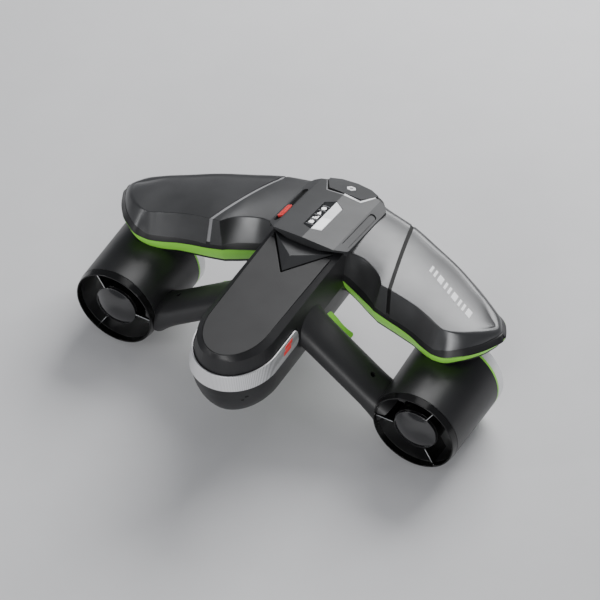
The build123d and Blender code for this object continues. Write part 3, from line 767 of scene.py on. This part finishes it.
def build_handle(label, side):
    """Oval handle, flared where it meets the hull and the duct, with the trigger's pocket."""
    line, depth, height = handle_axes()
    around, stops = HANDLE_AROUND, HANDLE_STOPS
    verts = []
    for i in range(stops + 1):
        s = HANDLE_ROOT + (HANDLE_LENGTH - HANDLE_ROOT) * i / stops
        root = max(0.0, (ROOT_FLARE - s) / ROOT_FLARE)
        far = max(0.0, (s - (HANDLE_LENGTH - DUCT_FLARE)) / DUCT_FLARE)
        wide = 1 + ROOT_WIDER * root**2 + DUCT_WIDER * far**2
        tall = 1 + ROOT_TALLER * root**2 + DUCT_TALLER * far**2
        centre = HANDLE_START + line * s
        for k in range(around):
            angle = 2 * pi * k / around
            c, n = cos(angle), sin(angle)
            x = GRIP_DEPTH * wide * abs(c) ** OVAL_POWER * (1 if c > 0 else -1)
            y = GRIP_HEIGHT * tall * abs(n) ** OVAL_POWER * (1 if n > 0 else -1)
            verts.append(centre + depth * x + height * y)
    faces = []
    for i in range(stops):
        for k in range(around):
            a, b = i * around + k, i * around + (k + 1) % around
            faces.append([a, b, b + around, a + around])
    faces.append(list(reversed(range(around))))
    faces.append(list(range(stops * around, (stops + 1) * around)))
    piece = sided(f"handle_grip_{label}", side, verts, faces)
    tidy(piece)
    cut(piece, sided("cutter", side, *handle_block(POCKET_ALONG, POCKET_DEPTH, POCKET_HALF)))
    cut(piece, sided("cutter", side, *round_bar(HOLE_CENTRE, height, HOLE_RADIUS, HOLE_LENGTH)))
    rounded(piece, 0.7, 3, 40)
    dress(piece, "grip", "hull", (f"handle_{label}",))


def round_bar(centre, axis, radius, length, sides=24):
    """Closed round bar centred on a point, as vertices and faces."""
    axis = axis.normalized()
    u = axis.orthogonal().normalized()
    v = axis.cross(u)
    verts = []
    for end in (-0.5, 0.5):
        for k in range(sides):
            angle = 2 * pi * k / sides
            spoke = u * cos(angle) + v * sin(angle)
            verts.append(centre + axis * (length * end) + spoke * radius)
    faces = [[k, (k + 1) % sides, (k + 1) % sides + sides, k + sides] for k in range(sides)]
    faces.append(list(reversed(range(sides))))
    faces.append(list(range(sides, 2 * sides)))
    return verts, faces


# ---------------------------------------------------------------- console
# The console's roof in mm: ridge height at its rear edge, fall towards the front, drop from the
# ridge to the side edge, and the steeper fall past that edge.
ROOF_TOP, ROOF_REAR, ROOF_PITCH = 231, 44.5, 0.155
ROOF_DROP, ROOF_HALF, ROOF_SIDE_PITCH = 4.5, 48.5, 0.516


def roof_height(x, y):
    beyond = max(0.0, abs(x) - ROOF_HALF)
    ridge = ROOF_TOP - ROOF_PITCH * (y - ROOF_REAR)
    return ridge - ROOF_DROP * min(abs(x), ROOF_HALF) / ROOF_HALF - ROOF_SIDE_PITCH * beyond


def slab(name, outline, top, bottom):
    """Closed slab over a plan outline between two height functions."""
    count = len(outline)
    verts = [(x, y, height(x, y)) for height in (bottom, top) for x, y in outline]
    faces = [list(reversed(range(count))), list(range(count, 2 * count))]
    faces += [[k, (k + 1) % count, (k + 1) % count + count, k + count] for k in range(count)]
    piece = as_object(name, verts, faces)
    tidy(piece, 0.001)
    return piece


def roof_slab(name, outline, drop, depth, material, stands_for=()):
    """Slab that follows the roof, its top a drop below it."""
    def top(x, y):
        return roof_height(x, y) - drop

    def bottom(x, y):
        return roof_height(x, y) - drop - depth

    piece = slab(name, outline, top, bottom)
    rounded(piece, 0.15, 2)
    return dress(piece, material, "hull", stands_for)


def rectangle(x_low, y_low, x_high, y_high):
    return [(x_low, y_low), (x_high, y_low), (x_high, y_high), (x_low, y_high)]


def build_display():
    """Printed screen: symbols on the dark left half and a gauge on the right half. The right half's dim
    glow is a painted reflection of the light on the roof's right side, and the symbols and gauge glow
    as painted light. Drops below the roof in mm.
    """
    glass, ink, icon = 0.35, 0.25, 0.22
    left = [(-0.2, 69.8), (-0.2, 146.0), (-14.4, 136.3), (-14.4, 75.3)]
    right = [(0.2, 69.8), (14.4, 75.3), (14.4, 136.3), (0.2, 146.0)]
    roof_slab("display_dark", left, glass, 1.5, "screen", stands_for=("display_lens", "display_panel"))
    # Dim glow on the right half: painted reflection.
    roof_slab("display_painted_reflection", right, glass, 1.5, "painted_reflection")
    roof_slab("display_gauge", [(1, 72), (13.6, 76.8), (13.6, 106), (1, 101)], ink, 0.3, "gauge_painted_glow")
    for n in range(5):
        y = 79.0 + 12.4 * n
        roof_slab(f"display_rule_{n}", rectangle(-13.4, y, -1.4, y + 0.8), ink, 0.3, "joint")
    icons = {
        "battery": [rectangle(-11, 82, -4, 88.2), rectangle(-9, 88.2, -6, 89.6)],
        "bars": [
            rectangle(-11.4, 94, -9.2, 97.4),
            rectangle(-8.6, 94, -6.4, 99.8),
            rectangle(-5.8, 94, -3.6, 102),
        ],
        "arrow": [[(-11, 106.6), (-4, 106.6), (-7.5, 113.8)]],
        "lamp": [[(-10, 119), (-5, 119), (-3.6, 122.4), (-5, 126), (-10, 126), (-11.4, 122.4)]],
    }
    for name, shapes in icons.items():
        for n, shape in enumerate(shapes):
            roof_slab(f"display_icon_{name}_{n}", shape, icon, 0.4, "icon")


def build_chin():
    """Dark undercut below the console's rear edge."""
    rear = [(-48.0, 48.2), (-24.0, 46.0), (0.0, 45.2), (24.0, 46.0), (48.0, 48.2)]
    falls = [3.8, 12.5, 17.0, 12.5, 3.8]
    verts = []
    for (x, y), fall in zip(rear, falls):
        crest = roof_height(x, y) - 2.0
        verts += [(x, y, crest), (x, y + 1.2, crest - fall), (x, y + 9.0, crest - fall)]
    piece = as_object("console_chin", verts, strip_faces(len(rear), 3))
    thicken(piece, 1.2)
    tidy(piece)
    rounded(piece, 0.3, 2)
    dress(piece, "console", "hull")


def build_bezel():
    """Strip round the mounting plate, white on the right as a painted highlight, and grey and black on
    the left as painted shade.
    """
    right = [(0, 166.4), (28.3, 166.4), (40.6, 190.4), (38.9, 191.3), (25.9, 170.6), (0, 170.6)]
    left_outer = [
        (0, 166.4), (0, 168.2), (-27.3, 168.2), (-39.9, 190.7), (-40.6, 190.4), (-28.3, 166.4),
    ]
    left_inner = [
        (0, 168.2), (0, 170.6), (-25.9, 170.6), (-38.9, 191.3), (-39.9, 190.7), (-27.3, 168.2),
    ]
    roof_slab("bezel_right", right, 0.3, 1.6, "white")
    roof_slab("bezel_left_outer", left_outer, 0.3, 1.6, "joint")
    roof_slab("bezel_left_inner", left_inner, 0.6, 1.6, "painted_shade")
    # Black floor in the key's channel: painted shade in the slot.
    roof_slab("key_channel_floor", slot_outline(-56, 66.4, 157.6, 5.4), 2.93, 0.5, "painted_shade")


def slot_outline(x, low, high, radius):
    """Plan of a slot with round ends, running fore and aft."""
    points, steps = [], 8
    for centre, start in ((high - radius, 0.0), (low + radius, pi)):
        for k in range(steps + 1):
            angle = start + pi * k / steps
            points.append((x + radius * cos(angle), centre + radius * sin(angle)))
    return points


def build_chevron():
    """Pointed wedge between the lid's arms, standing clear of them in a groove whose black floor is
    painted shade.
    """
    tip, arm = -16.5, 48.5
    floor_low, floor_high, foot, shoulder, crest = 208.2, 209.2, 209.0, 213.9, 224.5
    outline = [(0, tip + 0.3), (arm, 49.6), (-arm, 49.6)]
    # Black floor under the wedge: painted shade in the groove.
    floor = slab("chevron_floor", outline, lambda x, y: floor_high, lambda x, y: floor_low)
    rounded(floor, 0.1, 1)
    dress(floor, "painted_shade", "hull")
    groove_tip, groove_arm = tip + 4.0, arm - 3.0
    rim = [(0, groove_tip), (groove_arm, 49.8), (-groove_arm, 49.8)]
    verts = [(x, y, z) for z in (foot, shoulder) for x, y in rim]
    verts += [(0, 8, crest), (1.5, 11, crest), (-1.5, 11, crest)]
    faces = [[2, 1, 0], [0, 1, 4, 3], [1, 2, 5, 4], [2, 0, 3, 5], [6, 7, 8]]
    faces += [[3, 4, 7, 6], [4, 5, 8, 7], [5, 3, 6, 8]]
    wedge = as_object("chevron_wedge_skin", verts, faces)
    tidy(wedge, 0.001)
    rounded(wedge, 0.35, 2, 12)
    dress(wedge, "console", "hull", ("chevron_wedge",))


def build_console():
    refined("mount_plate", "console", "hull", 0.7)
    refined("mount_nut", "nut", "hull", 0.4)
    refined("top_cover", "console", "hull", 0.6, angle=5)
    refined("power_key", "red", "key", 0.35)
    refined("side_inlay", "console", "hull", 0.4)
    build_chevron()
    build_bezel()
    build_display()
    build_chin()


# ---------------------------------------------------------------- hull
# Planes in mm from which the patches are thrown on to the tail and its right side: painted shade for
# the drain holes and print for the latch's mark.
BEHIND = -300
BESIDE = 120

# Small drain holes low on the tail, drawn as black patches of painted shade on the shell: x, z and half
# size in mm.
DRAIN_HOLES = ((43.4, 140.7, 1.7), (38.6, 134.0, 1.4))

# Red mark on the latch's right arm: y, z, width and height of each stroke in mm.
LATCH_MARK = ((-118, 168.5, 19, 5.5), (-113, 175.6, 19, 5.5))


def build_hull():
    refined("pod_upper_shell", "body", "hull", 0.8, angle=24)
    pod = refined("pod_lower_shell", "body", "hull", 0.8, angle=24)
    # Black patches of painted shade where the drain holes are.
    for n, (x, z, half) in enumerate(DRAIN_HOLES):
        square = rectangle(x - half, z - half, x + half, z + half)
        corners = [(across, BEHIND, up) for across, up in square]
        print_and_shade_patch(f"drain_hole_painted_shade_{n}", pod, corners, (0, 1, 0), "painted_shade", "hull", (3, 3))
    refined("battery_lid", "lid", "battery", 1.0)
    band = refined("tail_latch", "band", "latch", 1.0)
    for n, (y, z, width, height) in enumerate(LATCH_MARK):
        slanted = [(y, z), (y + width, z), (y + width + 2, z + height), (y + 2, z + height)]
        corners = [(BESIDE, forward, up) for forward, up in slanted]
        print_and_shade_patch(f"latch_mark_{n}", band, corners, (-1, 0, 0), "red", "latch", (6, 4))


# ---------------------------------------------------------------- thrusters
THRUSTER_X, THRUSTER_Z = 246.0, 69.0
LATHE_SIDES = 144

# Light bars on the vanes' rear edges, a painted highlight: angles in degrees, then y, middle radius,
# length and thickness.
VANE_ANGLES = (60, 180, 300)
VANE_Y = -70.4
VANE_MIDDLE = 47.4
VANE_LENGTH = 25.6
VANE_HIGHLIGHT_RADIUS = 0.7

# Turned rings: node, finish, slot, edge rounding and closed (radius, y) profile in mm.
DUCT_PROFILE = [(61.4, -65.2), (65.4, -65.2), (69, 50.8), (65, 50.8)]
OUTLET_PROFILE = [(61.2, -76), (63.2, -76), (65.4, -65.9), (61.4, -65.9)]
INLET_PROFILE = [(65, 54.2), (69, 54.2), (69, 68), (67.5, 71), (65, 71)]
RINGS = (
    ("duct_shell", "duct", "grip_plastic", 0.5, DUCT_PROFILE),
    ("outlet_ring", "gloss", "gloss_black", 0.45, OUTLET_PROFILE),
    ("inlet_ring", "silver", "silver_metal", 0.5, INLET_PROFILE),
)

# Hub cap: profile of its seat, y of the dome's middle, its rim radius and its curve's radius.
CAP_SEAT = [(0, -66), (33, -66), (33, -69.6)]
CAP_REAR = -78.5
CAP_RADIUS = 32.2
CAP_CURVE = 62
CAP_STEPS = 9


def lathed(name, side, profile):
    """Ring or dome turned about the thruster axis from a closed (radius, y) profile."""
    verts, faces, starts = [], [], []
    sides = LATHE_SIDES
    for radius, y in profile:
        on_axis = radius < 0.01
        starts.append((len(verts), on_axis))
        for k in range(1 if on_axis else sides):
            angle = 2 * pi * k / sides
            x, z = radius * cos(angle), radius * sin(angle)
            verts.append((side * THRUSTER_X + x, y, THRUSTER_Z + z))
    for n, (start, is_point) in enumerate(starts):
        following, next_point = starts[(n + 1) % len(starts)]
        for k in range(sides):
            j = (k + 1) % sides
            if is_point and next_point:
                continue
            if is_point:
                faces.append([start, following + k, following + j])
            elif next_point:
                faces.append([start + k, following, start + j])
            else:
                faces.append([start + k, following + k, following + j, start + j])
    piece = as_object(name, verts, faces)
    tidy(piece, 0.001)
    return piece


def build_thruster(label, side):
    """Duct with rings, hub, vanes and guard, and propeller and trigger on their own bodies."""
    rotor = f"rotor_{label}"
    for node, material, slot_name, width, profile in RINGS:
        ring = lathed(f"{node}_{label}_turned", side, profile)
        rounded(ring, width, 3)
        dress(ring, material, "hull", (f"{node}_{label}",))
    cap_profile = list(CAP_SEAT)
    for k in range(CAP_STEPS, -1, -1):
        radius = CAP_RADIUS * k / CAP_STEPS
        cap_profile.append((radius, CAP_REAR + CAP_CURVE - sqrt(CAP_CURVE**2 - radius**2)))
    cap = lathed(f"hub_cap_{label}_turned", side, cap_profile)
    rounded(cap, 0.5, 2)
    dress(cap, "dome", "hull", (f"hub_cap_{label}",))
    refined(f"stator_hub_{label}", "gloss", "hull", 0.4)
    # Light bars on the vanes' rear edges: painted highlight.
    for n, angle in enumerate(VANE_ANGLES):
        ray = Vector((side * cos(radians(angle)), 0, sin(radians(angle))))
        middle = Vector((side * THRUSTER_X, VANE_Y, THRUSTER_Z)) + ray * VANE_MIDDLE
        bar = round_bar(middle, ray, VANE_HIGHLIGHT_RADIUS, VANE_LENGTH, 12)
        edge = as_object(f"vane_edge_{label}_{n}", *bar)
        tidy(edge, 0.001)
        dress(edge, "edge", "hull")
    refined(f"inlet_guard_{label}", "duct", "hull", 0.5)
    refined(f"propeller_{label}", "body", rotor, 0.4)
    refined(f"spinner_{label}", "steel", rotor, 0.4)
    refined(f"trigger_{label}", "green", f"trigger_{label}", 1.2)


# CAD nodes that keep their own shape and only take a finish.
plain = {
    "stripe": ("duct_stripes",),
    "copper": ("motor_windings",),
    "rubber": ("shaft_seals", "battery_seal"),
    "inner": ("bay_liner", "battery_case"),
    "brass": ("contact_pins",),
    "board": ("controller_board",),
    "wrap": ("battery_cells",),
    "foam": ("wing_foam_right", "wing_foam_left"),
    "steel": (
        "shaft_bearings", "trigger_pins", "trigger_springs", "latch_pins", "shell_screws",
        "motor_rotor_right", "motor_rotor_left",
    ),
}


# ---------------------------------------------------------------- camera, floor and light
def make_camera():
    """Camera at the photograph's viewing angle; distances in metres, lens and sensor in mm."""
    azimuth, elevation, distance = radians(29.5), radians(45.64), 4.361
    target = Vector((0.0144, 0.0137, 0.1385))
    right = Vector((cos(azimuth), sin(azimuth), 0))
    back = Vector((sin(azimuth) * cos(elevation), -cos(azimuth) * cos(elevation), sin(elevation)))
    up = back.cross(right)
    turn = Matrix((right, up, back)).transposed().to_4x4()
    data = bpy.data.cameras.new("camera")
    data.lens = 183.6
    data.sensor_width = 36.0
    data.clip_end = 60
    camera = bpy.data.objects.new("camera", data)
    camera.matrix_world = Matrix.Translation(target + back * distance) @ turn
    bpy.context.scene.collection.objects.link(camera)
    bpy.context.scene.camera = camera


LIGHT_TARGET = Vector((0, 0, 0.15))
FLOOR_GAP = 0.0005
FLOOR_HALF = 6000.0


def area_light(name, direction, distance, width, height, power):
    """Softbox at a distance from the scooter, in metres and watts, turned towards it."""
    data = bpy.data.lights.new(name, "AREA")
    data.shape = "RECTANGLE"
    data.size = width
    data.size_y = height
    data.energy = power
    light = bpy.data.objects.new(name, data)
    light.location = LIGHT_TARGET + Vector(direction).normalized() * distance
    light.rotation_euler = (LIGHT_TARGET - light.location).to_track_quat("-Z", "Y").to_euler()
    bpy.context.scene.collection.objects.link(light)


def make_studio():
    square = rectangle(-FLOOR_HALF, -FLOOR_HALF, FLOOR_HALF, FLOOR_HALF)
    floor = as_object("floor", [(x, y, 0) for x, y in square], [[0, 1, 2, 3]])
    floor.location.z = cad_low.z - FLOOR_GAP
    pale = moulded("floor_pale", (0.70, 0.70, 0.71), 0.9, 0.02, variation=0.01, specular=0.1)
    floor.data.materials.append(pale)
    world = bpy.data.worlds.new("studio")
    world.use_nodes = True
    sky = world.node_tree.nodes["Background"]
    sky.inputs["Color"].default_value = (0.9, 0.93, 1.0, 1)
    sky.inputs["Strength"].default_value = 0.22
    bpy.context.scene.world = world
    area_light("key", (0.02, 0.78, 0.62), 2.4, 1.7, 1.3, 76)
    area_light("rear_strip", (0.22, -0.92, 0.33), 2.4, 0.9, 0.5, 16)
    area_light("right_rear", (0.39, -0.87, 0.29), 2.4, 0.6, 0.7, 10)
    area_light("left_strip", (-0.674, -0.71, 0.26), 2.4, 0.35, 0.8, 9)
    area_light("top", (0.1, 0.35, 1.0), 2.6, 1.4, 1.0, 7)


build_wings()
for label, side in SIDES:
    build_handle(label, side)
    build_thruster(label, side)
build_hull()
build_console()
for finish, plain_nodes in plain.items():
    for node in plain_nodes:
        nodes[node].data.materials.clear()
        nodes[node].data.materials.append(paint[finish])
make_camera()
make_studio()
